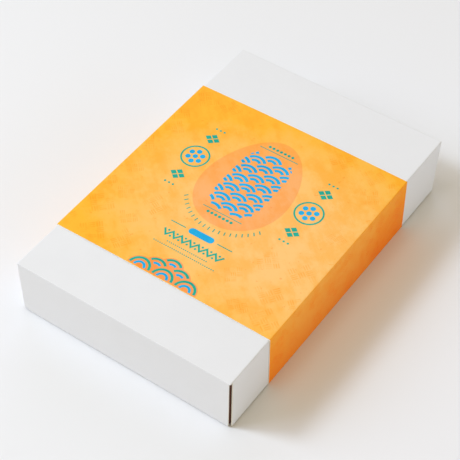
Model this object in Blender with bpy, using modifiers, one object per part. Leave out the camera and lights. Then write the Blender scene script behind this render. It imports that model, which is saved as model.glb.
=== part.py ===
"""A shut, flat carton of white board with a printed paper sleeve round its middle.

Run it with blender --background --python part.py, or from Blender's text editor.
Metres, +Z up. The carton's long side runs along Y, its front is at -Y, and the
sleeve's underside rests on Z = 0 below the origin.
"""

import bmesh
import bpy
from mathutils import Matrix, Vector

# The carton, measured over its board.
WIDTH = 0.206
LENGTH = 0.312
HEIGHT = 0.055
BOARD = 0.0010
TOP_FOLD = 0.0012
FOLD_STEPS = 3
BACK_LEAN = 0.006
BASE_STEP = 0.0010

# The open seams at the four upright corners.
SEAM_WIDTH = 0.0017
SEAM_DEPTH = 0.0070
SEAM_HEAD = 0.0016

# The sleeve, which is a closed band with both ends open.
GAP = 0.0003
CARD = 0.0005
SLEEVE_LENGTH = 0.202
SLEEVE_SHIFT = -0.004
SLEEVE_ARCH = 0.0010
ARCH_STEPS = 12

# The carton hangs on the sleeve, so it starts one card and one gap above the floor.
LIFT = CARD + GAP
OVERCUT = 0.004

WHITE = (0.80, 0.80, 0.79)
ORANGE = (0.95, 0.42, 0.06)


def main():
    """Clears the scene and builds the carton and its sleeve."""
    for old in list(bpy.data.objects):
        bpy.data.objects.remove(old, do_unlink=True)
    box = new_collection("sleeved_carton")
    cutters = new_collection("cutters")
    cutters.hide_render = True
    stand = bpy.data.objects.new("carton_set", None)
    box.objects.link(stand)
    for part in (make_carton(box, cutters), make_sleeve(box)):
        part.parent = stand


def make_carton(collection, cutters):
    """Returns the carton: a block with soft top folds, a sunk base and open corner seams."""
    carton = block("carton", (WIDTH, LENGTH, HEIGHT), collection)
    carton.location.z = LIFT + HEIGHT / 2
    shape = bmesh.new()
    shape.from_mesh(carton.data)
    mark_top_folds(shape)
    sink_base(shape)
    lean_back(shape.verts, LENGTH / 2)
    shape.to_mesh(carton.data)
    shape.free()
    round_folds(carton)
    for side in (-1, 1):
        for end in (-1, 1):
            cut_seam(carton, side, end, cutters)
    carton.data.materials.append(paper("white_board", WHITE, 0.62))
    return carton


def mark_top_folds(shape):
    """Gives the four edges of the top face the weight that the Bevel modifier reads."""
    weight = shape.edges.layers.float.new("bevel_weight_edge")
    for edge in shape.edges:
        if all(vert.co.z > 0 for vert in edge.verts):
            edge[weight] = 1.0


def sink_base(shape):
    """Insets the underside by the board, and sinks it between the walls' lower edges."""
    shape.faces.ensure_lookup_table()
    base = [face for face in shape.faces if face.normal.z < -0.5]
    bmesh.ops.inset_individual(shape, faces=base, thickness=BOARD, depth=-BASE_STEP)


def lean_back(verts, back):
    """Slants the back wall: its foot stands BACK_LEAN inside its head, in a straight line."""
    for vert in verts:
        if vert.co.y > back - SEAM_DEPTH - BOARD:
            vert.co.y -= BACK_LEAN * (0.5 - vert.co.z / HEIGHT)


def round_folds(carton):
    """Rounds the marked edges."""
    fold = carton.modifiers.new("top_folds", "BEVEL")
    fold.limit_method = "WEIGHT"
    fold.width = TOP_FOLD
    fold.segments = FOLD_STEPS


def cut_seam(carton, side, end, cutters):
    """Cuts the upright seam between two walls: a slot that runs in along the corner's diagonal."""
    size = (2 * SEAM_DEPTH, SEAM_WIDTH, HEIGHT - SEAM_HEAD + OVERCUT)
    name = f"seam_{'left' if side < 0 else 'right'}_{'front' if end < 0 else 'back'}"
    cutter = block(name, size, cutters)
    corner = Vector((side * WIDTH / 2, end * LENGTH / 2, -(SEAM_HEAD + OVERCUT) / 2))
    turn = Matrix.Rotation(Vector((side, end)).angle_signed(Vector((1, 0))), 4, "Z")
    cutter.data.transform(Matrix.Translation(corner) @ turn)
    if end > 0:
        for vert in cutter.data.vertices:
            vert.co.y -= BACK_LEAN * (0.5 - vert.co.z / HEIGHT)
    cutter.location = carton.location
    cutter.hide_render = True
    cutter.display_type = "WIRE"
    cut = carton.modifiers.new(name, "BOOLEAN")
    cut.operation = "DIFFERENCE"
    cut.solver = "EXACT"
    cut.object = cutter


def make_sleeve(collection):
    """Returns the sleeve: a band of card, one gap clear of the carton, its top slightly arched."""
    sleeve = block("sleeve", (WIDTH + 2 * GAP, SLEEVE_LENGTH, HEIGHT + 2 * GAP), collection)
    sleeve.location = (0, SLEEVE_SHIFT, LIFT + HEIGHT / 2)
    shape = bmesh.new()
    shape.from_mesh(sleeve.data)
    ends = [face for face in shape.faces if abs(face.normal.y) > 0.5]
    bmesh.ops.delete(shape, geom=ends, context="FACES_ONLY")
    arch_top(shape)
    shape.to_mesh(sleeve.data)
    shape.free()
    fold = sleeve.modifiers.new("folds", "BEVEL")
    fold.limit_method = "ANGLE"
    fold.width = GAP
    fold.segments = FOLD_STEPS
    card = sleeve.modifiers.new("card", "SOLIDIFY")
    card.thickness = CARD
    card.offset = 1.0
    card.use_even_offset = True
    sleeve.data.materials.append(paper("orange_paper", ORANGE, 0.55))
    return sleeve


def arch_top(shape):
    """Divides the top panel across its width and lifts it along a parabola, highest midway."""
    cross = [
        edge
        for edge in shape.edges
        if all(vert.co.z > 0 for vert in edge.verts)
        and edge.verts[0].co.x * edge.verts[1].co.x < 0
    ]
    bmesh.ops.subdivide_edges(shape, edges=cross, cuts=ARCH_STEPS - 1, use_grid_fill=True)
    half = WIDTH / 2 + GAP
    for vert in shape.verts:
        if vert.co.z > 0:
            vert.co.z += SLEEVE_ARCH * (1 - (vert.co.x / half) ** 2)


def block(name, size, collection):
    """Returns a cube primitive of this size, centred on its origin, in the collection."""
    bpy.ops.mesh.primitive_cube_add(size=1)
    made = bpy.context.object
    made.name = made.data.name = name
    made.data.transform(Matrix.Diagonal((*size, 1)))
    for old in list(made.users_collection):
        old.objects.unlink(made)
    collection.objects.link(made)
    return made


def new_collection(name):
    """Returns a new collection under the scene's own."""
    made = bpy.data.collections.new(name)
    bpy.context.scene.collection.children.link(made)
    return made


def paper(name, colour, roughness):
    """Returns a plain material for board or card."""
    made = bpy.data.materials.new(name)
    made.use_nodes = True
    surface = made.node_tree.nodes["Principled BSDF"]
    surface.inputs["Base Color"].default_value = (*colour, 1)
    surface.inputs["Roughness"].default_value = roughness
    surface.inputs["Metallic"].default_value = 0
    made.diffuse_color = (*colour, 1)
    return made


if __name__ == "__main__":
    main()
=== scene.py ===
"""The looks of a shut, flat carton of white board with a printed paper sleeve.

Laid out as a Blender add-on and run as a script. Every piece is a sheet: a flat
blank of board or card that is folded by a formula and given its thickness.
Metres, +Z up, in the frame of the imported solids.
"""

import math

import bpy
import numpy as np
from mathutils import Matrix, Vector


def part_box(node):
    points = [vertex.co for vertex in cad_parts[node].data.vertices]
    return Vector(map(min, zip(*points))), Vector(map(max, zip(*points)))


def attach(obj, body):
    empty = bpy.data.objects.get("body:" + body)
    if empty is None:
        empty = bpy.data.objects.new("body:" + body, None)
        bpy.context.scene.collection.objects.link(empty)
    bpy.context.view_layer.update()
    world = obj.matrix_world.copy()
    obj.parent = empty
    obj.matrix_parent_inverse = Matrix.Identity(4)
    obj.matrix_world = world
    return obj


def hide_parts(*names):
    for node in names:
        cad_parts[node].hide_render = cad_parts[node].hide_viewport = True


bl_info = {
    "name": "Sleeved gift carton",
    "version": (1, 0, 0),
    "blender": (4, 5, 0),
    "location": "3D View > Sidebar > Gift carton",
    "description": "Builds a shut board carton with a printed paper sleeve",
    "category": "Object",
}

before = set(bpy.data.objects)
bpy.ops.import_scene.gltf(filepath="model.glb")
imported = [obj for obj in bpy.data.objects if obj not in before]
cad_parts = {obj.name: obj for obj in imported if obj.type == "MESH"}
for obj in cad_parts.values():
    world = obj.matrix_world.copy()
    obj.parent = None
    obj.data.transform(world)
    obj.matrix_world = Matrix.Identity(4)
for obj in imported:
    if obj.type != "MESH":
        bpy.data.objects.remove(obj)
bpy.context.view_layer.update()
CARTON_LOW, CARTON_HIGH = (np.array(corner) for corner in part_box("carton"))
SLEEVE_LOW, SLEEVE_HIGH = (np.array(corner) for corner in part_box("sleeve"))

MM = 0.001
HALF_WIDTH = CARTON_HIGH[0]
HALF_LENGTH = -CARTON_LOW[1]
BACK_EDGE = CARTON_HIGH[1]
LID_TOP = CARTON_HIGH[2]
LID_FOOT = CARTON_LOW[2]
LID_HEIGHT = LID_TOP - LID_FOOT
SLEEVE_HALF = SLEEVE_HIGH[0]
SLEEVE_NEAR = SLEEVE_LOW[1]
SLEEVE_FAR = SLEEVE_HIGH[1]
SLEEVE_TOP = SLEEVE_HIGH[2]
ROOT = "root"

# Shading breaks past this angle. Then the rows of a fold and of a wall, and two by a fold's ends.
SHARP_FOLD = math.radians(40)
FOLD_STEPS = 6
WALL_STEPS = 14
BESIDE_FOLD = np.array([0.8, 2.0]) * MM

# Reach of the wear from a fold, and its share and factor on the board's colour.
WEAR_WIDTH = 1.5 * MM
WEAR_SHARE = 0.25
WORN = 0.93
BOARD_SPECULAR = 0.35

# Roughness, unevenness as a share of the colour, and depth of the grain.
COATED = (0.55, 0.012, 0.04 * MM)
TRAY_FACE = (0.8, 0.10, 0.08 * MM)
RAW = (0.8, 0.12, 0.08 * MM)
CUT = (0.8, 0.08, 0.06 * MM)
CARD_BACK = (0.75, 0.04, 0.05 * MM)
CARD_CUT = (0.75, 0.06, 0.05 * MM)

# The print: its gloss, its grain, and factors on its colour where it is darkest and in flecks.
INK_ROUGHNESS = 0.55
INK_SPECULAR = 0.15
INK_RELIEF = 0.04 * MM
CLOUD_TINT = (1.0, 0.86, 0.60)
FLECK_TINT = (0.98, 0.72, 0.55)
NO_INK = (1.0, 1.0, 1.0)


def number(name, text, default, **limits):
    """A property of one number."""
    return bpy.props.FloatProperty(name=name, description=text, default=default, **limits)


def numbers(name, text, default, **limits):
    """A property of two or three numbers."""
    return bpy.props.FloatVectorProperty(
        name=name, description=text, default=default, size=len(default), **limits
    )


def size(name, text, millimetres):
    """A length."""
    return number(name, text, millimetres * MM, min=0.0, max=0.5, precision=5, unit="LENGTH")


def size_pair(name, text, *millimetres):
    """Two lengths."""
    return numbers(name, text, [one * MM for one in millimetres], precision=5, unit="LENGTH")


def angle(name, text, degrees):
    """An angle, given in degrees."""
    return number(name, text, math.radians(degrees), precision=4, unit="ROTATION")


def colour(name, text, default):
    """A linear colour."""
    return numbers(name, text, default, subtype="COLOR", min=0.0, max=1.0)


def parts(name, text, default):
    """Red, green and blue parts that may pass one: a light's power, or a factor on a colour."""
    return numbers(name, text, default, min=0.0)


class CartonSettings(bpy.types.PropertyGroup):
    """Sizes and colours of the lid and the tray."""

    board: size("Board", "Thickness of the board", 1.0)
    fold: size("Fold", "Outer radius of a fold", 0.7)
    end_seam: size("End seam", "Gap between the front wall's right end and the corner", 1.6)
    side_seam: size("Side seam", "Gap between a side wall's near end and the corner", 3.4)
    other_seam: size("Other seam", "Gap between the walls' other ends and the corners", 0.3)
    seam_slant: size_pair("Seam slant", "Shift of a seam's edges at the foot", 0.9, 1.2)
    blunt: size("Blunt corner", "Rise of the front wall's lower edge at its left end", 2.3)
    back_lean: size("Back lean", "How far the back wall's foot stands inside its head", 6.0)
    lid_foot: size("Lid foot", "Height of the walls' lower edges over the floor", 1.1)
    tray_gap: size("Tray gap", "Clear space between the lid's walls and the tray's", 0.5)
    tray_taper: angle("Tray taper", "Lean of the tray's walls", 0.7)
    tray_height: size("Tray height", "Height of the tray's walls", 53.4)
    base_lift: size("Base lift", "Height of the tray's base above the solid's foot", 0.35)
    bulge: size("Bulge", "Rise of the top panel in its middle, up against the sleeve", 1.2)
    bow: size("Bow", "Depth of the slow waves in the top panel", 0.10)
    white: colour("White", "Coated face of the board", (0.75, 0.75, 0.747))
    edge: colour("Cut edge", "Core of the board where it is cut", (0.92, 0.89, 0.80))
    # Liner and base are brown board made darker than its own brown, so that the corner seams look
    # dark: partly the board's colour, partly painted shade.
    liner: colour("Liner", "Inside of the board", (0.17, 0.065, 0.042))
    base: colour("Base", "Outside of the tray", (0.13, 0.050, 0.032))


class SleeveSettings(bpy.types.PropertyGroup):
    """Sizes and colours of the sleeve."""

    card: size("Card", "Thickness of the sleeve's card", 0.45)
    ink: size("Ink room", "Room for the ink inside the solid's outline", 0.06)
    near_edge: size_pair("Near edge", "Move of its middle and right end", -0.4, 0.35)
    far_edge: size_pair("Far edge", "Move of its middle and right end", -0.6, 0.8)
    fold: size("Fold", "Outer radius of the upper folds", 0.8)
    foot_fold: size("Foot fold", "Outer radius of the lower folds", 1.8)
    swell: size("Swell", "How far the card swells inwards at its cut edges", 0.15)
    arch: size("Arch", "Rise of the top panel midway", 1.0)
    overlap: size("Overlap", "Width of the glued overlap underneath", 15)
    overlap_place: size("Overlap place", "Distance of the overlap's end from the middle", 22)
    ramp: size("Ramp", "Stretch in which the inner layer comes out to the outer one", 5)
    glue: size("Glue", "Space between the overlap's layers", 0.01)
    rim: colour("Orange", "Print near the edges", (0.935, 0.457, 0.026))
    glow: colour("Amber", "Paler print about the middle", (0.935, 0.543, 0.178))
    glow_place: size_pair("Glow place", "Where the print is palest", 54, -18)
    glow_reach: size_pair("Glow reach", "Where it ends, across and along", 174, 117)
    side: parts("Side", "Factor on the print at the head of the right side", (1.06, 0.83, 0.365))
    foot: parts("Foot", "Factor on the print at the foot of the right side", (1.02, 0.49, 0.092))
    core: colour("Core", "Unprinted back and cut edge of the card", (0.93, 0.91, 0.83))


class PrintSettings(bpy.types.PropertyGroup):
    """Sizes and colours of the printed motifs."""

    film: size("Film", "Height of the ink over the card", 0.05)
    egg_width: size("Egg width", "Width of the egg-shaped field", 80)
    egg_length: size("Egg length", "Length of the egg-shaped field", 110)
    egg_place: size("Egg place", "Distance of the field's middle from the origin", 20)
    patch_width: size("Patch width", "Width of the patch of waves", 46)
    patch_length: size("Patch length", "Length of the patch of waves", 76)
    wave_radius: size("Wave radius", "Radius of one wave scale", 11.5)
    stroke: size("Stroke", "Width of a wave scale's arcs", 2.8)
    rule: size("Rule", "Width of the thin lines", 1.2)
    side_place: size("Side place", "Distance of the side motifs from the middle", 57)
    salmon: parts("Salmon", "Factor of the egg-shaped field on the print", (0.99, 0.785, 0.86))
    coral: parts("Coral", "Factor of the near waves' ground on the print", (0.985, 0.64, 0.86))
    tone: parts("Tone", "Factor of the faint marks on the print", (1.0, 0.86, 0.62))
    blue: colour("Blue", "Waves", (0.004, 0.385, 0.700))
    teal: colour("Teal", "Lines and small marks", (0.007, 0.372, 0.268))


# Name, kind, turn from +X and height in degrees, distance, and width and height or a sun's angle.
LIGHTS = (
    ("key", "AREA", 211, 46, 2.0, (0.4, 0.4)),
    ("window", "SUN", 213, 34, 2.0, 36),
    ("behind", "SUN", 125, 30, 2.0, 36),
    ("above", "AREA", 211, 82, 1.5, (0.4, 0.4)),
    ("right", "AREA", 330, 15, 1.5, (1.6, 0.8)),
    ("corner", "AREA", 30, 12, 1.5, (1.6, 0.8)),
)


class StageSettings(bpy.types.PropertyGroup):
    """Camera, floor and light."""

    place: numbers(
        "Camera place",
        "Where the camera stands",
        (0.4791, -0.6883, 0.9482),
        subtype="XYZ",
        unit="LENGTH",
    )
    azimuth: angle("Azimuth", "Camera's turn about the object", 35.25)
    elevation: angle("Elevation", "Camera's height angle", 47.93)
    roll: angle("Roll", "Camera's turn about its own axis", -0.116)
    lens: number("Lens", "Focal length in mm on a 36 mm sensor", 117.03, min=1.0, max=500.0)
    floor: colour("Floor", "Pale floor", (0.80, 0.80, 0.80))
    room: parts("Room", "Warm light from all round", (0.471, 0.382, 0.211))
    key: parts("Key", "Watts of the soft light high on the left", (11.64, 13.8, 16.32))
    window: parts("Window", "Strength of the broad light round the key", (1.123, 1.294, 1.728))
    behind: parts("Behind", "Strength of the light from behind on the left", (0.415, 0.482, 0.677))
    above: parts("Above", "Watts of the small light overhead", (1.94, 1.94, 2.09))
    right: parts("Right", "Watts of the low reflector on the right", (2.74, 2.66, 2.86))
    corner: parts("Corner", "Watts of the low reflector behind on the right", (3.22, 4.34, 6.30))


def placed(name, data):
    """A new object of this data, linked to the scene."""
    made = bpy.data.objects.new(name, data)
    bpy.context.scene.collection.objects.link(made)
    return made


def add_mesh(name, points, groups, materials, indices=None, wear=None):
    """Makes a mesh object of groups of triangles or quads, with a material index for each face.

    wear is a value for each point, kept as an attribute.
    """
    mesh = bpy.data.meshes.new(name)
    mesh.vertices.add(len(points))
    mesh.vertices.foreach_set("co", np.ascontiguousarray(points, np.float32).ravel())
    sizes = np.concatenate([np.full(len(g), g.shape[1]) for g in groups])
    mesh.loops.add(int(sizes.sum()))
    mesh.loops.foreach_set("vertex_index", np.concatenate([g.ravel() for g in groups]))
    mesh.polygons.add(len(sizes))
    mesh.polygons.foreach_set("loop_start", np.cumsum(sizes) - sizes)
    for material in materials:
        mesh.materials.append(material)
    if indices is not None:
        mesh.polygons.foreach_set("material_index", indices)
    if wear is not None:
        mesh.attributes.new("wear", "FLOAT", "POINT").data.foreach_set("value", wear)
    mesh.update(calc_edges=True)
    mesh.validate()
    mesh.shade_smooth()
    mesh.set_sharp_from_angle(angle=SHARP_FOLD)
    return placed(name, mesh)


def signed_volume(points, quads):
    """Six times the volume that the quads enclose: positive where they face outwards."""
    a, b, c, d = (points[quads[:, k]] for k in range(4))
    return float((np.cross(a, b) * c).sum() + (np.cross(a, c) * d).sum())


def solid_sheet(outer, inner, keep):
    """Closes two grids of points into one sheet with thickness.

    Each kept cell gives a quad on the outer grid and one on the inner grid, and
    each cell side without a kept neighbour gives a quad across the thickness.
    Returns points, quads and a face index: 0 outside, 1 inside, 2 cut edge.
    """
    rows, columns = outer.shape[:2]
    ids = np.arange(rows * columns).reshape(rows, columns)
    back = rows * columns
    a, b, c, d = ids[:-1, :-1], ids[1:, :-1], ids[1:, 1:], ids[:-1, 1:]
    front = np.stack([a, b, c, d], -1)[keep]
    padded = np.pad(keep, 1)
    rims = []
    for down, across, start, end in ((0, -1, a, b), (1, 0, b, c), (0, 1, c, d), (-1, 0, d, a)):
        beyond = padded[1 + down : rows + down, 1 + across : columns + across]
        open_side = keep & ~beyond
        first, last = start[open_side], end[open_side]
        rims.append(np.stack([last, first, first + back, last + back], -1))
    rim = np.concatenate(rims)
    quads = np.concatenate([front, front[:, ::-1] + back, rim])
    part = np.repeat([0, 1, 2], [len(front), len(front), len(rim)])
    points = np.concatenate([outer.reshape(-1, 3), inner.reshape(-1, 3)])
    used = np.unique(quads)
    renumber = np.zeros(len(points), np.int64)
    renumber[used] = np.arange(len(used))
    quads = renumber[quads]
    if signed_volume(points[used], quads) < 0:
        quads = quads[:, ::-1]
    return points[used], np.ascontiguousarray(quads), part, used


def joined(*runs):
    """One rising run of stations out of several, with repeats left out."""
    return np.unique(np.round(np.concatenate(runs), 9))


def folded_axis(edges, turns, seams, radius, depth, count):
    """One axis of a blank, folded down at both ends.

    Up to edge - radius the axis is flat. It then follows an arc of the radius through
    the turn, and runs on straight to the depth. count stations lie between the
    seams. Returns the stations, their reach, drop and outward normal's two parts,
    and for the cells between them the share of the arc that is behind them and
    whether they lie between the seams.
    """
    runs = [np.linspace(seams[0] - edges[0], edges[1] - seams[1], count)]
    for side, edge, turn in zip((-1, 1), edges, turns):
        start, end = edge - radius, edge - radius + radius * turn
        wall = (depth - radius * (1 - math.cos(turn))) / math.sin(turn)
        over_arc = start + np.linspace(0, radius * turn, FOLD_STEPS + 1)
        down_wall = end + np.linspace(0, wall, WALL_STEPS + 1)[1:]
        for run in (start - BESIDE_FOLD, over_arc, end + BESIDE_FOLD, down_wall):
            runs.append(side * run)
    along = joined(*runs)
    middle = (along[1:] + along[:-1]) / 2
    (side, away, start, turn), (_, cell, cell_start, cell_turn) = (
        (np.sign(s), np.abs(s), np.where(s < 0, *edges) - radius, np.where(s < 0, *turns))
        for s in (along, middle)
    )
    bent = np.clip((away - start) / radius, 0, turn)
    beyond = np.maximum(away - start - radius * turn, 0)
    reach = side * (np.minimum(away, start) + radius * np.sin(bent) + beyond * np.cos(bent))
    drop = radius * (1 - np.cos(bent)) + beyond * np.sin(bent)
    share = (cell - cell_start) / (radius * cell_turn)
    between = (middle > runs[0][0]) & (middle < runs[0][-1])
    return along, reach, drop, side * np.sin(bent), np.cos(bent), share, between


def slow_waves(x, y, height, length, phase):
    """A gentle unevenness: three crossed sines whose lengths have no common measure."""
    k = 2 * math.pi / length
    waves = np.sin(k * x + phase) + np.sin(0.77 * k * y + 1.7 * phase)
    return height / 3 * (waves + np.sin(0.53 * k * (x + y) + 0.6 * phase))


def folded_blank(x_edges, y_edges, turns, radius, depth, seams, board, cells):
    """The surface of a blank with four flaps, folded down about its middle panel.

    x_edges and y_edges are the panel's outer edges to each side of the origin,
    and turns the fold angles, both as left, right, front and back. seams is how far
    the end walls stop short of the corners on the left and right, and the side
    walls in front and at the back. cells is how many stations lie between the seams,
    across and along. The folds run the whole way, and each corner is closed by a
    patch that takes half of both arcs. A blank's point (u, v) lands at
    (X(u), Y(v), -(drop of u + drop of v)). Returns the outer grid, the inner grid,
    the kept cells and the distance along the blank past the folds' starts.
    """
    across = folded_axis(x_edges, turns[:2], seams[:2], radius, depth, cells[0])
    along = folded_axis(y_edges, turns[2:], seams[2:], radius, depth, cells[1])
    u, x, u_drop, x_sine, x_cosine, past_u, open_u = (part[:, None] for part in across)
    v, y, v_drop, y_sine, y_cosine, past_v, open_v = (part[None] for part in along)
    outer = np.stack(np.broadcast_arrays(x, y, -(u_drop + v_drop)), -1)
    normal = np.stack([x_sine * y_cosine, x_cosine * y_sine, x_cosine * y_cosine], -1)
    normal /= np.maximum(np.linalg.norm(normal, axis=-1, keepdims=True), 0.1)
    keep = (past_u < 1) & (past_v < 0) | (past_u < 0) & (past_v < 1)
    keep |= (past_u < 0.5) & (past_v < 0.5)
    keep |= (past_u > 1) & open_v | (past_v > 1) & open_u
    beyond = np.maximum(np.abs(u) - min(x_edges), np.abs(v) - min(y_edges)) + radius
    return outer, outer - board * normal, keep, beyond


def principled(name, base, roughness, specular):
    """A new material and its Principled shader, with its plain values set."""
    material = bpy.data.materials.new(name)
    material.use_nodes = True
    shader = material.node_tree.nodes["Principled BSDF"]
    shader.inputs["Base Color"].default_value = (*base, 1)
    shader.inputs["Roughness"].default_value = roughness
    shader.inputs["Specular IOR Level"].default_value = specular
    material.diffuse_color = (*base, 1)
    return material, shader


class Nodes:
    """A short way to write shader nodes: each method adds one and returns its output."""

    def __init__(self, tree):
        self.tree = tree

    def put(self, target, value):
        """Links a socket to a value that is a socket, or sets it."""
        if isinstance(value, bpy.types.NodeSocket):
            self.tree.links.new(value, target)
        else:
            target.default_value = value

    def node(self, kind, **inputs):
        """Adds a node of a kind, with inputs by name."""
        made = self.tree.nodes.new(kind)
        for key, value in inputs.items():
            self.put(made.inputs[key], value)
        return made

    def coordinates(self):
        """The object's own coordinates."""
        return self.node("ShaderNodeTexCoord").outputs["Object"]

    def math(self, kind, first, second=0.0, third=0.0):
        """A sum on single values."""
        made = self.node("ShaderNodeMath")
        made.operation = kind
        for socket, value in zip(made.inputs, (first, second, third)):
            self.put(socket, value)
        return made.outputs[0]

    def noise(self, vector, scale, detail=2.0, rough=0.5, stretch=None, turn=0.0):
        """Noise, which may be drawn out by a stretch along axes turned about Z."""
        if stretch is not None:
            made = self.node(
                "ShaderNodeMapping", Vector=vector, Rotation=(0.0, 0.0, turn), Scale=stretch
            )
            made.vector_type = "TEXTURE"
            vector = made.outputs[0]
        return self.node(
            "ShaderNodeTexNoise", Vector=vector, Scale=scale, Detail=detail, Roughness=rough
        ).outputs[0]

    def remap(self, value, low, high, to_low=0.0, to_high=1.0, smooth=True):
        """A value taken from one range to another, clamped at both ends."""
        made = self.node("ShaderNodeMapRange")
        made.interpolation_type = "SMOOTHSTEP" if smooth else "LINEAR"
        for socket, given in zip(made.inputs[:5], (value, low, high, to_low, to_high)):
            self.put(socket, given)
        return made.outputs[0]

    def mix(self, amount, first, second, blend="MIX"):
        """Two colours mixed, each given as a socket or as three parts."""
        made = self.node("ShaderNodeMix")
        made.data_type = "RGBA"
        made.blend_type = blend
        self.put(made.inputs[0], amount)
        for socket, value in zip(made.inputs[6:8], (first, second)):
            self.put(socket, value if isinstance(value, bpy.types.NodeSocket) else (*value, 1))
        return made.outputs[2]

    def bump(self, height, strength, distance):
        """A normal raised by a height."""
        return self.node(
            "ShaderNodeBump", Height=height, Strength=strength, Distance=distance
        ).outputs[0]


def new_group(name, inputs, outputs):
    """A shader node group with named sockets. Returns the tree and its input and output nodes."""
    tree = bpy.data.node_groups.new(name, "ShaderNodeTree")
    for label, kind, default in inputs:
        socket = tree.interface.new_socket(label, in_out="INPUT", socket_type=kind)
        if default is not None:
            socket.default_value = default
    for label, kind in outputs:
        tree.interface.new_socket(label, in_out="OUTPUT", socket_type=kind)
    start = tree.nodes.new("NodeGroupInput")
    end = tree.nodes.new("NodeGroupOutput")
    return tree, start, end


def paper_grain():
    """The grain of paper: cloudy patches, slanting brush streaks, sparse flecks and fine tooth.

    Puts out Cloud, Streak and Fleck as masks, and Height for a Bump node. The
    streaks are noise drawn out four times along a slant of about forty degrees.
    """
    if "paper_grain" in bpy.data.node_groups:
        return bpy.data.node_groups["paper_grain"]
    tree, start, end = new_group(
        "paper_grain",
        [("Vector", "NodeSocketVector", None), ("Cloud Scale", "NodeSocketFloat", 40.0)],
        [(name, "NodeSocketFloat") for name in ("Cloud", "Streak", "Fleck", "Height")],
    )
    n = Nodes(tree)
    vector = start.outputs["Vector"]
    cloud = n.noise(vector, start.outputs["Cloud Scale"], detail=6.0, rough=0.68)
    streak = n.noise(vector, 150.0, detail=4.0, rough=0.6, stretch=(4.0, 1.0, 2.0), turn=-0.7)
    fleck = n.remap(n.noise(vector, 230.0, detail=3.0, rough=0.6), 0.665, 0.72)
    fibre = n.noise(vector, 700.0, detail=4.0, rough=0.7, stretch=(2.0, 1.0, 1.5), turn=-0.7)
    height = n.math("MULTIPLY_ADD", fibre, 0.7, n.math("MULTIPLY", n.noise(vector, 2600.0), 0.3))
    for name, value in (("Cloud", cloud), ("Streak", streak), ("Fleck", fleck), ("Height", height)):
        tree.links.new(value, end.inputs[name])
    return tree


def grain_of(n, where, cloud_scale):
    """Places the paper's grain in a material and returns its outputs."""
    made = n.node("ShaderNodeGroup")
    made.node_tree = paper_grain()
    n.put(made.inputs["Vector"], where)
    n.put(made.inputs["Cloud Scale"], cloud_scale)
    return made.outputs


def uneven(n, base, share, offset, cloud, spread):
    """A colour darkened and lightened by a share of itself as the clouds pass one half."""
    dark = tuple(c * (1 - share) for c in base)
    light = tuple(min(c * (1 + share) + offset, 1.0) for c in base)
    return n.mix(n.remap(cloud, 0.5 - spread, 0.5 + spread, smooth=False), dark, light)


def board_material(name, base, roughness, mottle, relief):
    """Board or card: its colour uneven with the grain and worn at the folds, with a fine bump."""
    material, shader = principled(name, base, roughness, BOARD_SPECULAR)
    n = Nodes(material.node_tree)
    grain = grain_of(n, n.coordinates(), cloud_scale=28.0)
    tint = uneven(n, base, mottle, 0.0, grain["Cloud"], spread=0.2)
    worn = n.node("ShaderNodeAttribute")
    worn.attribute_name = "wear"
    amount = n.math("MULTIPLY", worn.outputs["Fac"], WEAR_SHARE)
    gloss = n.remap(grain["Cloud"], 0.3, 0.7, roughness - 0.04, roughness + 0.04)
    n.put(shader.inputs["Base Color"], n.mix(amount, tint, tuple(c * WORN for c in base)))
    n.put(shader.inputs["Roughness"], gloss)
    n.put(shader.inputs["Normal"], n.bump(grain["Height"], 0.5, relief))
    return material


def print_tint(n, grain, where, look):
    """The print's ground: an orange with a pale glow, darkened by clouds and slanting streaks.

    The glow fades with the square of the distance from its own place, moved to
    and fro by the clouds. Down the right side a factor deepens the colour.
    """
    x, y, z = n.node("ShaderNodeSeparateXYZ", Vector=where).outputs
    away = n.math("SUBTRACT", 0.5, grain["Cloud"])
    for value, place, reach in zip((x, y), look.glow_place, look.glow_reach):
        off = n.math("DIVIDE", n.math("SUBTRACT", value, place), reach)
        away = n.math("MULTIPLY_ADD", off, off, away)
    tint = n.mix(n.remap(away, 0.0, 1.0, 1.0, 0.0, smooth=False), look.rim, look.glow)
    side = n.mix(n.remap(z, 0.0, SLEEVE_TOP, smooth=False), look.foot, look.side)
    fold_start, fold_end = SLEEVE_HALF - 1.2 * MM, SLEEVE_HALF - 0.3 * MM
    tint = n.mix(n.remap(x, fold_start, fold_end), tint, side, "MULTIPLY")
    shade = n.math("MULTIPLY_ADD", grain["Cloud"], 0.62, n.math("MULTIPLY", grain["Streak"], 0.30))
    shade = n.math("MULTIPLY_ADD", grain["Height"], 0.08, shade)
    return n.mix(n.remap(shade, 0.56, 0.40, 0.0, 0.85), tint, CLOUD_TINT, "MULTIPLY")


def printed(name, look, ink, worn=False):
    """Ink over the print's ground, as a factor on it. Worn ink is thinner in patches."""
    material, shader = principled(name, look.rim, INK_ROUGHNESS, INK_SPECULAR)
    n = Nodes(material.node_tree)
    where = n.coordinates()
    grain = grain_of(n, where, cloud_scale=27.0)
    tint = print_tint(n, grain, where, look)
    tint = n.mix(n.math("MULTIPLY", grain["Fleck"], 0.8), tint, FLECK_TINT, "MULTIPLY")
    amount = n.remap(n.noise(where, 90.0, detail=3.0), 0.38, 0.58, 0.35, 1.0) if worn else 1.0
    n.put(shader.inputs["Base Color"], n.mix(amount, tint, ink, "MULTIPLY"))
    n.put(shader.inputs["Normal"], n.bump(grain["Height"], 0.4, INK_RELIEF))
    return material


def ink_material(name, base):
    """Ink on paper: one colour, uneven by a tenth with the paper under it."""
    material, shader = principled(name, base, INK_ROUGHNESS, INK_SPECULAR)
    n = Nodes(material.node_tree)
    grain = grain_of(n, n.coordinates(), cloud_scale=60.0)
    tint = uneven(n, base, 0.10, 0.01, grain["Cloud"], spread=0.15)
    n.put(shader.inputs["Base Color"], tint)
    n.put(shader.inputs["Normal"], n.bump(grain["Height"], 0.4, INK_RELIEF))
    return material


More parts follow.
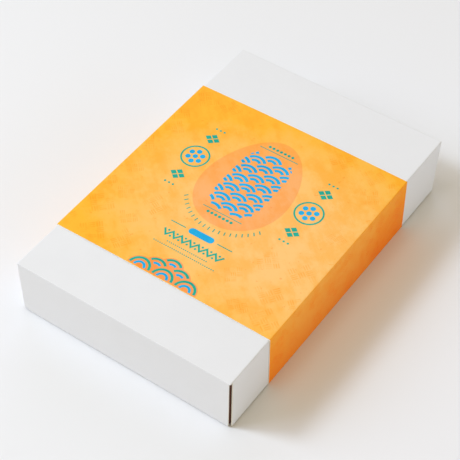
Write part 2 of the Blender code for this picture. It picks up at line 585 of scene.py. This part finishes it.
def finish_piece(piece, slot, *nodes):
    """Makes a piece ride on the root and replace its nodes. Its slot is not used."""
    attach(piece, ROOT)
    for node in nodes:
        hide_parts(node)


def add_board_piece(name, look, outer, inner, keep, beyond, materials):
    """Closes a folded blank of board into a piece of the carton.

    The wear along its folds is a bell curve on the distance from the arc's middle.
    """
    points, quads, part, used = solid_sheet(outer, inner, keep)
    middle = look.fold * 0.8
    wear = np.exp(-(((beyond - middle) / WEAR_WIDTH) ** 2)).ravel()
    wear = np.concatenate([wear, wear])[used]
    finish_piece(add_mesh(name, points, [quads], materials, part, wear), "white_board", "carton")


class GIFT_OT_add_lid(bpy.types.Operator):
    """Adds the carton's lid: a blank with four walls, open at the corners"""

    bl_idname = "gift_carton.add_lid"
    bl_label = "Lid"

    def execute(self, context):
        look = context.scene.carton_look
        square = math.pi / 2
        outer, inner, keep, beyond = folded_blank(
            (HALF_WIDTH, HALF_WIDTH),
            (HALF_LENGTH, BACK_EDGE),
            (square, square, square, square + math.asin(look.back_lean / LID_HEIGHT)),
            look.fold,
            LID_TOP - look.lid_foot,
            (look.other_seam, look.end_seam, look.side_seam, look.other_seam),
            look.board,
            cells=(26, 38),
        )
        lift = look.bulge * panel_dome(outer)
        wave = slow_waves(outer[..., 0], outer[..., 1], look.bow, length=0.19, phase=0.8)
        lift += np.minimum(wave - look.bow, 0) * panel_middle(outer)
        for grid in (inner, outer):
            slant_ends(grid, outer, look)
            grid[..., 2] += LID_TOP + lift
        materials = [
            board_material("white_board", look.white, *COATED),
            # The lid's inside takes the liner's colour, with its painted shade for the corner
            # seams.
            board_material("board_liner", look.liner, *RAW),
            board_material("board_edge", look.edge, *CUT),
        ]
        add_board_piece("carton_lid", look, outer, inner, keep, beyond, materials)
        return {"FINISHED"}


def slant_ends(grid, shape, look):
    """Cuts the walls' ends aslant within their planes, in proportion to the depth below the top.

    The side walls' far ends move forwards to meet the leaning back wall. At the near
    corners the side walls reach forwards and the front wall draws in towards its foot.
    The front wall's left lower corner is blunt: its edge rises over the last stretch.
    """
    stretch, blunt_stretch = 14 * MM, 6 * MM
    x, y = shape[..., 0], shape[..., 1]
    depth = np.clip(-shape[..., 2] / LID_HEIGHT, 0, 1)
    on_side = np.abs(x) > HALF_WIDTH - look.other_seam / 2
    far = (y - BACK_EDGE + look.other_seam) / stretch + 1
    far = np.clip(far, 0, 1) * (far < 1.1) * on_side
    near = np.clip((look.side_seam - HALF_LENGTH - y) / stretch + 1, 0, 1) * on_side
    end = np.clip((np.abs(x) - HALF_WIDTH + look.end_seam) / stretch + 1, 0, 1)
    end *= (y < look.board / 2 - HALF_LENGTH) & ~on_side
    blunt = np.clip(1 - (x + HALF_WIDTH) / blunt_stretch, 0, 1) * (end > 0)
    grid[..., 1] -= depth * (look.back_lean * far + look.seam_slant[1] * near)
    grid[..., 0] -= depth * look.seam_slant[0] * end * np.sign(x)
    grid[..., 2] += depth * look.blunt * blunt


def panel_dome(grid):
    """One in the top panel's middle: a parabola across times one less the fourth power along."""
    x, y = grid[..., 0] / HALF_WIDTH, grid[..., 1] / HALF_LENGTH
    on_top = np.clip(1 + grid[..., 2] / (2 * MM), 0, 1)
    return np.clip(1 - x**2, 0, 1) * np.clip(1 - y**4, 0, 1) * on_top


def panel_middle(grid):
    """One on the middle of the top panel, falling to nought at its folds and on the walls."""
    border = 20 * MM
    x = np.clip((HALF_WIDTH - np.abs(grid[..., 0])) / border, 0, 1)
    y = np.clip((HALF_LENGTH - np.abs(grid[..., 1])) / border, 0, 1)
    return x * y


class GIFT_OT_add_tray(bpy.types.Operator):
    """Adds the tray inside the lid, which shows in the corner seams and from below"""

    bl_idname = "gift_carton.add_tray"
    bl_label = "Tray"

    def execute(self, context):
        look = context.scene.carton_look
        lean = math.asin(look.back_lean / LID_HEIGHT)
        upright = math.pi / 2 - look.tray_taper
        shift = look.board + look.tray_gap + look.tray_height * math.tan(look.tray_taper)
        side = HALF_WIDTH - shift
        back = BACK_EDGE - look.board - look.tray_gap - look.back_lean
        outer, inner, keep, beyond = folded_blank(
            (side, side),
            (HALF_LENGTH - shift, back),
            (upright, upright, upright, math.pi / 2 - lean),
            look.fold,
            look.tray_height,
            (look.fold,) * 4,
            look.board,
            cells=(14, 20),
        )
        base = LID_FOOT + look.base_lift
        for grid in (outer, inner):
            grid[..., 2] = base - grid[..., 2]
        materials = [
            # The tray's faces and cut edges are darkened with painted shade, so that they look dark
            # through the corner seams.
            board_material("tray_outside", look.base, *TRAY_FACE),
            board_material("tray_inside", look.liner, *RAW),
            board_material("tray_edge", look.liner, *CUT),
        ]
        add_board_piece("carton_tray", look, outer, inner, keep, beyond, materials)
        return {"FINISHED"}


def sleeve_outline(look):
    """The sleeve's outer outline across its length, by arc length from the middle of the top.

    It goes right and round: a parabola for the arched top, a straight side and a
    straight underside, each joined by a quarter turn, of a wider radius at the
    foot. The left half mirrors the right. Returns the arc length, x, z and the
    normal's angle from +Z, closed at the end.
    """
    panel_steps, side_steps, fold_steps, foot_steps = 41, 25, 7, 9
    r, low = look.fold, look.foot_fold
    edge = SLEEVE_HALF - look.ink
    square = math.pi / 2
    tilt = math.atan(2 * look.arch / edge)
    x_fold = edge - r * (1 - math.sin(tilt))
    x = np.linspace(0, x_fold, panel_steps)
    z = SLEEVE_TOP - look.ink - look.arch * (x / edge) ** 2
    turn = np.linspace(tilt, square, fold_steps)[1:]
    fold_x = x_fold - r * math.sin(tilt) + r * np.sin(turn)
    fold_z = z[-1] - r * math.cos(tilt) + r * np.cos(turn)
    side_z = np.linspace(fold_z[-1], low + look.ink, side_steps)[1:]
    low_turn = np.linspace(square, math.pi, foot_steps)[1:]
    under_x = np.linspace(edge - low, 0, panel_steps)[1:]
    runs = (
        (x, z, np.arctan(2 * look.arch * x / edge**2)),
        (fold_x, fold_z, turn),
        (np.full(len(side_z), edge), side_z, np.full(len(side_z), square)),
        (edge - low + low * np.sin(low_turn), look.ink + low + low * np.cos(low_turn), low_turn),
        (under_x, np.full(len(under_x), look.ink), np.full(len(under_x), math.pi)),
    )
    half_x, half_z, half_angle = (np.concatenate(line) for line in zip(*runs))
    full_x = np.concatenate([half_x, -half_x[-2::-1]])
    full_z = np.concatenate([half_z, half_z[-2::-1]])
    full_angle = np.concatenate([half_angle, 2 * math.pi - half_angle[-2::-1]])
    length = np.concatenate([[0], np.cumsum(np.hypot(np.diff(full_x), np.diff(full_z)))])
    return length, full_x, full_z, full_angle


def sleeve_edges(look, x):
    """Where the near and the far edge lie at x: straight lines, slightly moved and askew."""
    ends = []
    for edge, (middle, right) in ((SLEEVE_NEAR, look.near_edge), (SLEEVE_FAR, look.far_edge)):
        ends.append(edge + middle + right * x / SLEEVE_HALF)
    return ends


def on_outline(outline, along):
    """Point and outward normal on the sleeve's outline at an arc length, also past a whole turn."""
    length, x, z, turn = outline
    s = np.mod(along, length[-1])
    facing = np.interp(s, length, turn)
    point = np.stack([np.interp(s, length, x), np.interp(s, length, z)], -1)
    return point, np.stack([np.sin(facing), np.cos(facing)], -1)


class GIFT_OT_add_sleeve(bpy.types.Operator):
    """Adds the sleeve: one strip of card wrapped round, its ends glued together underneath"""

    bl_idname = "gift_carton.add_sleeve"
    bl_label = "Sleeve"

    def execute(self, context):
        look = context.scene.sleeve_look
        ramp_steps, swell_reach = 9, 0.01
        outline = sleeve_outline(look)
        girth = outline[0][-1]
        under = girth / 2 + look.overlap_place
        knots = np.mod(outline[0][:-1] - under, girth)
        ramps = look.overlap + np.linspace(0, look.ramp, ramp_steps)
        last = knots[knots < look.overlap] + girth
        along = joined(knots, last, [0, look.overlap], ramps, [girth, girth + look.overlap])
        rim = np.array([0, 0.006, 0.015])
        across = np.concatenate([rim, np.linspace(0.03, 0.97, 31), 1 - rim[::-1]])
        rise = np.clip((along - look.overlap) / look.ramp, 0, 1)
        rise = rise * rise * (3 - 2 * rise)
        depth = (1 - rise) * (look.card + look.glue)
        point, facing = on_outline(outline, under + along)
        outer = np.zeros((len(along), len(across), 3))
        inner = np.zeros_like(outer)
        swell = look.swell * np.exp(-((np.minimum(across, 1 - across) / swell_reach) ** 2))
        for grid, inwards in ((outer, 0.0), (inner, look.card + swell)):
            sunk = depth[:, None] + inwards
            grid[..., 0] = point[:, :1] - facing[:, :1] * sunk
            grid[..., 2] = point[:, 1:] - facing[:, 1:] * sunk
            near, far = sleeve_edges(look, point[:, :1])
            grid[..., 1] = near + (far - near) * across
        keep = np.ones((len(along) - 1, len(across) - 1), bool)
        points, quads, part, _ = solid_sheet(outer, inner, keep)
        materials = [
            printed("sleeve_print", look, NO_INK),
            board_material("sleeve_back", look.core, *CARD_BACK),
            board_material("sleeve_edge", look.core, *CARD_CUT),
        ]
        band = add_mesh("sleeve_band", points, [quads], materials, part)
        finish_piece(band, "orange_paper", "sleeve")
        return {"FINISHED"}


class Ink:
    """Collects flat motifs laid on the sleeve as thin closed films, to be one mesh."""

    def __init__(self, outline, height):
        self.outline = outline
        self.height = height
        self.points = []
        self.quads = []
        self.triangles = []
        self.count = 0

    def add(self, flat, quads, triangles=None):
        """Stores a film over flat points, its lower side first.

        Flat x goes round the sleeve from the top's middle, and flat y along it.
        """
        point, facing = on_outline(self.outline, flat[:, 0])
        for height in (-self.height, self.height):
            x, z = (point + facing * height).T
            self.points.append(np.stack([x, flat[:, 1], z], -1))
        self.quads.append(quads + self.count)
        if triangles is not None:
            self.triangles.append(triangles + self.count)
        self.count += 2 * len(flat)

    def line(self, path, width, closed=False):
        """A stroke along a path: the path moved half a width to each side, mitred."""
        path = np.asarray(path, float)
        before = path - np.roll(path, 1, 0)
        after = np.roll(path, -1, 0) - path
        if not closed:
            before[0], after[-1] = after[0], before[-1]
        before /= np.linalg.norm(before, axis=1, keepdims=True)
        after /= np.linalg.norm(after, axis=1, keepdims=True)
        step = before + after
        step /= np.linalg.norm(step, axis=1, keepdims=True)
        mitre = np.maximum((step * before).sum(1, keepdims=True), 0.4)
        side = np.stack([-step[:, 1], step[:, 0]], -1) * width / 2 / mitre
        self.strip(path + side, path - side, closed)

    def strip(self, left_side, right_side, closed=False):
        """A film between two lines of equally many points."""
        n = len(left_side)
        flat = np.concatenate([left_side, right_side])
        ids = np.arange(n)
        ahead = np.roll(ids, -1)
        if not closed:
            ids, ahead = ids[:-1], ahead[:-1]
        high = 2 * n
        top = np.stack([ids + high, ids + n + high, ahead + n + high, ahead + high], -1)
        bottom = np.stack([ids, ahead, ahead + n, ids + n], -1)
        left = np.stack([ids, ids + high, ahead + high, ahead], -1)
        right = np.stack([ids + n, ahead + n, ahead + n + high, ids + n + high], -1)
        quads = [top, bottom, left, right]
        if not closed:
            e = n - 1
            ends = [[0, n, n + high, high], [e, e + high, e + n + high, e + n]]
            quads.append(np.array(ends))
        self.add(flat, np.concatenate(quads))

    def field(self, rim, rings=1):
        """A filled shape: its rim drawn in towards its middle in equal rings."""
        rim = np.asarray(rim, float)
        n = len(rim)
        middle = rim.mean(0)
        shares = (np.arange(1, rings + 1) / rings)[:, None, None]
        flat = np.concatenate([[middle], (middle + (rim - middle) * shares).reshape(-1, 2)])
        high = len(flat)
        ids = np.arange(n)
        ahead = np.roll(ids, -1)
        upper = np.stack([np.full(n, high), 1 + ids + high, 1 + ahead + high], -1)
        lower = np.stack([np.zeros(n, int), 1 + ahead, 1 + ids], -1)
        quads = []
        for index in range(rings - 1):
            a, b = 1 + index * n + ids, 1 + index * n + ahead
            quads.append(np.stack([a + high, a + n + high, b + n + high, b + high], -1))
            quads.append(np.stack([a, b, b + n, a + n], -1))
        a, b = 1 + (rings - 1) * n + ids, 1 + (rings - 1) * n + ahead
        quads.append(np.stack([a, b, b + high, a + high], -1))
        self.add(flat, np.concatenate(quads), np.concatenate([upper, lower]))

    def dot(self, centre, radius, steps):
        """A filled circle."""
        self.field(ring(centre, radius, radius, steps))

    def piece(self, name, material):
        """Makes one mesh of all the films."""
        groups = [np.concatenate(faces) for faces in (self.quads, self.triangles) if faces]
        made = add_mesh(name, np.concatenate(self.points), groups, [material])
        finish_piece(made, "orange_paper")


def straight(start, end):
    """Points along a straight line, close enough together to follow the arched top."""
    step = 2 * MM
    start, end = np.asarray(start, float), np.asarray(end, float)
    count = int(np.linalg.norm(end - start) / step) + 2
    return start + (end - start) * np.linspace(0, 1, count)[:, None]


def ring(centre, radius_x, radius_y, steps, start=0.0, turn=2 * math.pi, whole=True):
    """Points on an ellipse or part of one: centre plus cosine and sine times the radii."""
    t = start + np.linspace(0, turn, steps + (0 if whole else 1), endpoint=not whole)
    return np.stack([centre[0] + radius_x * np.cos(t), centre[1] + radius_y * np.sin(t)], -1)


def capsule(centre, width, height):
    """Points round a bar with round ends: two half circles joined by straight lines."""
    r = height / 2
    ends = []
    for side in (1, -1):
        middle = (centre[0] + side * (width / 2 - r), centre[1])
        ends.append(ring(middle, r, r, 10, -side * math.pi / 2, math.pi, whole=False))
    return np.concatenate(ends)


def egg(centre, width, length, t, grow=0.0):
    """An egg's outline at angles t: an ellipse narrowed by a sixth of the sine, grown outwards."""
    flat = np.stack([width / 2 * np.cos(t) * (1 - np.sin(t) / 6), length / 2 * np.sin(t)], -1)
    away = flat / np.linalg.norm(flat, axis=-1, keepdims=True)
    return flat + away * grow + centre


def seen_runs(points, seen):
    """Splits a line of points into its runs that are seen."""
    change = np.flatnonzero(np.diff(np.concatenate([[False], seen, [False]]).astype(int)))
    return [points[a:b] for a, b in zip(change[::2], change[1::2]) if b - a > 3]


def wave_scale(inks, centre, covers, inside, radius, stroke, gap):
    """One wave scale: arcs about one centre, each drawn only where it is seen.

    A point of an arc is seen outside every circle that covers it, and inside the
    patch. The outermost arc takes the first ink, the others the last. An arc is a
    half turn and a little beyond.
    """
    beyond = 0.2
    t = np.linspace(-beyond, math.pi + beyond, 73)
    round_line = np.stack([np.cos(t), np.sin(t)], -1)
    for index, r in enumerate(np.arange(radius - gap / 2 - stroke / 2, stroke / 2, -stroke - gap)):
        points = centre + r * round_line
        seen = inside(points)
        for cover in covers:
            seen &= np.linalg.norm(points - cover, axis=1) > radius + gap / 2
        for run in seen_runs(points, seen):
            inks[min(index, len(inks) - 1)].line(run, stroke)


def wave_rows(inks, rows, inside, radius, stroke, gap):
    """Rows of wave scales, each row nearer by its step and half a scale aside.

    rows lists each row's scale centres, the farthest row first. A scale is
    covered by the next row and the one after it.
    """
    for index, row in enumerate(rows):
        covers = [centre for nearer in rows[index + 1 : index + 3] for centre in nearer]
        for centre in row:
            wave_scale(inks, centre, covers, inside, radius, stroke, gap)


def block_mask(centre, width, length):
    """A test for points inside a rounded block: the sum of fourth powers is below one."""
    half = np.array([width, length]) / 2
    return lambda points: (((points - centre) / half) ** 4).sum(-1) < 1


class GIFT_OT_add_print(bpy.types.Operator):
    """Adds the sleeve's printed motifs: an egg-shaped field, waves, rings, lines and faint marks"""

    bl_idname = "gift_carton.add_print"
    bl_label = "Print"

    def execute(self, context):
        look = context.scene.print_look
        ground = context.scene.sleeve_look
        outline = sleeve_outline(ground)
        heights = np.array([0.6, 0.6, 1.0, 1.0, 0.4]) * look.film
        salmon, coral, blue, teal, tone = (Ink(outline, height) for height in heights)
        print_egg(look, salmon, blue, teal)
        print_sides(look, blue, teal)
        print_band(look, blue, teal)
        print_near_waves(coral, blue, teal)
        girth = outline[0][-1]
        end = girth / 2 + ground.overlap_place + ground.overlap
        print_tone(tone, girth, (end - MM, end + ground.ramp + MM))
        salmon.piece("print_field", printed("ink_salmon", ground, look.salmon))
        coral.piece("print_heap", printed("ink_coral", ground, look.coral))
        blue.piece("print_waves", ink_material("ink_blue", look.blue))
        teal.piece("print_lines", ink_material("ink_teal", look.teal))
        tone.piece("print_tone", printed("ink_tone", ground, look.tone, worn=True))
        return {"FINISHED"}


def print_egg(look, salmon, blue, teal):
    """The egg-shaped field, with waves up its middle, beads and a fringe of short rays."""
    scale_step, gap = 0.56, 0.52
    half_rule, rule_gap = 19 * MM, 3.2 * MM
    bead, bead_step = 1.4 * MM, 3.8 * MM
    ray, ray_ends = 0.9 * MM, (3.4 * MM, 7.0 * MM)
    centre = np.array([0.0, look.egg_place])
    shape = centre, look.egg_width, look.egg_length
    salmon.field(egg(*shape, np.arange(96) / 96 * 2 * math.pi), rings=12)
    radius = look.wave_radius
    step = radius * scale_step
    rows = []
    for row in range(int(look.patch_length / step) + 2):
        y = centre[1] + look.patch_length / 2 - radius - row * step
        shift = radius * (row % 2)
        rows.append([np.array([k * 2 * radius + shift, y]) for k in range(-2, 3)])
    inside = block_mask(centre, look.patch_width, look.patch_length)
    wave_rows((blue,), rows, inside, radius, look.stroke, look.stroke * gap)
    for end in (-1, 1):
        y = look.egg_place + end * (look.patch_length / 2 + rule_gap)
        teal.line(straight((-half_rule, y), (half_rule, y)), look.rule * 0.6)
        for k in range(-3, 4):
            teal.dot((k * bead_step, y + end * bead_step), bead, 12)
    for t in np.radians(np.linspace(222, 318, 19)):
        teal.line([egg(*shape, t, grow) for grow in ray_ends], ray)


def print_sides(look, blue, teal):
    """On each side of the egg, a ringed rosette between two diamonds."""
    ring_radius, petal, petal_place = 12 * MM, 2.4 * MM, 6.2 * MM
    diamond_place, bead_place, bead_step = 25 * MM, 37 * MM, 4 * MM
    for side in (-1, 1):
        x = side * look.side_place
        middle = (x, look.egg_place)
        teal.line(ring(middle, ring_radius, ring_radius, 48), look.rule * 1.25, closed=True)
        blue.dot(middle, petal, 16)
        for place in ring(middle, petal_place, petal_place, 6, math.pi / 6):
            blue.dot(place, petal, 16)
        for end in (-1, 1):
            diamond(teal, (x, look.egg_place + end * diamond_place), 7.4 * MM, 6.2 * MM)
            for k in (-1, 0, 1):
                teal.dot((x + k * bead_step, look.egg_place + end * bead_place), 1.0 * MM, 10)


def diamond(ink, centre, half_width, half_height):
    """A diamond cut in four: one small diamond towards each of its points."""
    place, part = 0.54, 0.44
    for middle in ring(centre, half_width * place, half_height * place, 4):
        ink.field(ring(middle, half_width * part, half_height * part, 4))


def print_band(look, blue, teal):
    """Nearer than the egg: a bar between two lines, a zigzag with dots, and fine beads."""
    bar_place, line_start, line_end = -50 * MM, 15.5 * MM, 30 * MM
    zigzag_place, half, rise, dot_rise = -62 * MM, 29 * MM, 2.9 * MM, 2.4 * MM
    steps = 14
    blue.field(capsule((0, bar_place), 24 * MM, 6.4 * MM))
    for side in (-1, 1):
        ends = (side * line_start, bar_place), (side * line_end, bar_place)
        teal.line(straight(*ends), look.rule * 0.7)
    x = np.linspace(-half, half, steps + 1)
    sign = (-1.0) ** np.arange(steps + 1)
    teal.line(np.stack([x, zigzag_place + rise * sign], -1), look.rule * 1.35)
    for spot in np.stack([x, zigzag_place - dot_rise * sign], -1)[1:-1]:
        teal.dot(spot, 1.0 * MM, 10)
    for y, reach, count in ((-70 * MM, 19 * MM, 20), (-74.5 * MM, 29 * MM, 30)):
        for k in np.linspace(-reach, reach, count):
            teal.dot((k, y), 0.6 * MM, 8)


def print_near_waves(coral, blue, teal):
    """Wave scales on the near edge, three, two and one, on a coral field of their outline."""
    radius, step, stroke, gap = 11 * MM, 5.8 * MM, 2.3 * MM, 2.0 * MM
    foot = SLEEVE_NEAR + 1.0 * MM
    rows = []
    for row in (2, 1, 0):
        y = foot + row * step
        rows.append([np.array([k * radius, y]) for k in range(row - 2, 3 - row, 2)])
    middles = np.array([centre for row in rows for centre in row])
    x = np.linspace(-3, 3, 97) * radius * 0.999
    reach = np.maximum(radius**2 - (x[:, None] - middles[:, 0]) ** 2, 0)
    heights = np.where(reach > 0, middles[:, 1] + np.sqrt(reach), foot)
    upper = np.stack([x, np.maximum(heights.max(1), foot + 0.05 * MM)], -1)
    lower = np.stack([x, np.full(len(x), foot - 0.6 * MM)], -1)
    coral.strip(upper, lower)
    wave_rows((teal, blue), rows, lambda points: points[:, 1] > foot, radius, stroke, gap)


def print_tone(tone, girth, step):
    """Faint squares of basket weave, scattered round the sleeve on a staggered grid.

    The middle of the top stays clear for the other motifs, and the stretch of the
    girth called step, beside the overlap's end, stays bare.
    """
    random = np.random.default_rng(7)
    rows, columns = 8, 19
    jitter, off_top = 4.5, 80 * MM
    middle, clear_side, clear_end = 20 * MM, 42 * MM, 54 * MM
    for row in range(rows):
        for column in range(columns):
            around = (column + 0.5 * (row % 2) + 0.25) * girth / columns
            along = SLEEVE_NEAR + (row + 0.5) * (SLEEVE_FAR - SLEEVE_NEAR) / rows
            shift = random.uniform(-jitter, jitter, 2) * MM
            turn = random.uniform(-0.95, -0.35)
            scale = random.uniform(0.85, 1.2)
            place = np.array([around, along]) + shift
            aside = min(place[0], girth - place[0])
            endwise = abs(place[1] - middle)
            if aside > off_top or aside > clear_side and endwise > clear_end:
                weave_square(tone, place, turn, scale, random, step)


def weave_square(ink, centre, turn, scale, random, step):
    """Three by three cells of three bars each, crosswise in turn, one or two cells missing."""
    cell = 5.6 * MM * scale
    reach, apart, thick, border = 0.42 * cell, 0.31, 0.17, 2.5 * MM
    c, s = math.cos(turn), math.sin(turn)
    spin = np.array([[c, s], [-s, c]])
    missing = random.integers(9, size=2)
    for index in range(9):
        if index in missing:
            continue
        i, j = index % 3 - 1, index // 3 - 1
        for side in (-1, 0, 1):
            bar = np.array([(-reach, side * apart * cell), (reach, side * apart * cell)])
            if (i + j) % 2:
                bar = bar[:, ::-1]
            ends = (bar + np.array([i, j]) * cell) @ spin + centre
            (left, near), (right, far) = ends.min(0), ends.max(0)
            inside = near > SLEEVE_NEAR + border and far < SLEEVE_FAR - border
            if inside and (right < step[0] or left > step[1]):
                ink.line(ends, thick * cell)


class GIFT_OT_add_stage(bpy.types.Operator):
    """Adds the camera, the pale floor and the soft light"""

    bl_idname = "gift_carton.add_stage"
    bl_label = "Stage"

    def execute(self, context):
        look = context.scene.stage_look
        add_camera(look)
        add_floor(look)
        for name, *rest in LIGHTS:
            add_light(name, getattr(look, name), *rest)
        world = bpy.data.worlds.new("room")
        world.use_nodes = True
        background = world.node_tree.nodes["Background"]
        background.inputs["Color"].default_value = (*look.room, 1)
        background.inputs["Strength"].default_value = 1.0
        context.scene.world = world
        context.scene.view_settings.view_transform = "Standard"
        return {"FINISHED"}


def add_camera(look):
    """Stands the camera by its place and three turns: azimuth, then elevation, then roll."""
    data = bpy.data.cameras.new("camera")
    data.sensor_width = 36.0
    data.lens = look.lens
    data.clip_end = 50.0
    camera = placed("camera", data)
    turn = (
        Matrix.Rotation(look.azimuth, 4, "Z")
        @ Matrix.Rotation(math.pi / 2 - look.elevation, 4, "X")
        @ Matrix.Rotation(look.roll, 4, "Z")
    )
    camera.matrix_world = Matrix.Translation(look.place) @ turn
    bpy.context.scene.camera = camera


def add_floor(look):
    """A wide square of pale floor just under the sleeve."""
    reach, height = 6.0, -0.05 * MM
    corners = np.array([[-1, -1], [1, -1], [1, 1], [-1, 1]]) * reach
    points = np.column_stack([corners, np.full(4, height)])
    material, _ = principled("floor", look.floor, 0.9, specular=0.1)
    floor = add_mesh("floor", points, [np.array([[0, 1, 2, 3]])], [material])


def add_light(name, power, kind, turn, height, distance, sides):
    """A light that looks at the origin from a turn about Z and a height angle, in degrees.

    power is in red, green and blue parts. sides are the width and height of an area
    light, or a sun's angle in degrees.
    """
    data = bpy.data.lights.new(name, kind)
    data.energy = max(power)
    data.color = [part / data.energy for part in power]
    if kind == "AREA":
        data.shape = "RECTANGLE"
        data.size, data.size_y = sides
    else:
        data.angle = math.radians(sides)
    light = placed(name, data)
    turn, height = math.radians(turn), math.radians(height)
    flat = math.cos(height)
    way = Vector((math.cos(turn) * flat, math.sin(turn) * flat, math.sin(height)))
    light.rotation_mode = "QUATERNION"
    light.rotation_quaternion = (-way).to_track_quat("-Z", "Y")
    light.location = way * distance


class GIFT_PT_panel(bpy.types.Panel):
    """Lists the pieces in the 3D view's sidebar"""

    bl_idname = "GIFT_PT_panel"
    bl_label = "Gift carton"
    bl_space_type = "VIEW_3D"
    bl_region_type = "UI"
    bl_category = "Gift carton"

    def draw(self, context):
        for operator in OPERATORS:
            self.layout.operator(operator.bl_idname)


SETTINGS = {
    "carton_look": CartonSettings,
    "sleeve_look": SleeveSettings,
    "print_look": PrintSettings,
    "stage_look": StageSettings,
}
OPERATORS = (
    GIFT_OT_add_lid,
    GIFT_OT_add_tray,
    GIFT_OT_add_sleeve,
    GIFT_OT_add_print,
    GIFT_OT_add_stage,
)


def register():
    for group in SETTINGS.values():
        bpy.utils.register_class(group)
    for name, group in SETTINGS.items():
        setattr(bpy.types.Scene, name, bpy.props.PointerProperty(type=group))
    for operator in OPERATORS:
        bpy.utils.register_class(operator)
    bpy.utils.register_class(GIFT_PT_panel)


def unregister():
    bpy.utils.unregister_class(GIFT_PT_panel)
    for operator in reversed(OPERATORS):
        bpy.utils.unregister_class(operator)
    for name, group in SETTINGS.items():
        delattr(bpy.types.Scene, name)
        bpy.utils.unregister_class(group)


def main():
    register()
    for operator in OPERATORS:
        category, name = operator.bl_idname.split(".")
        getattr(getattr(bpy.ops, category), name)()


if __name__ == "__main__":
    main()
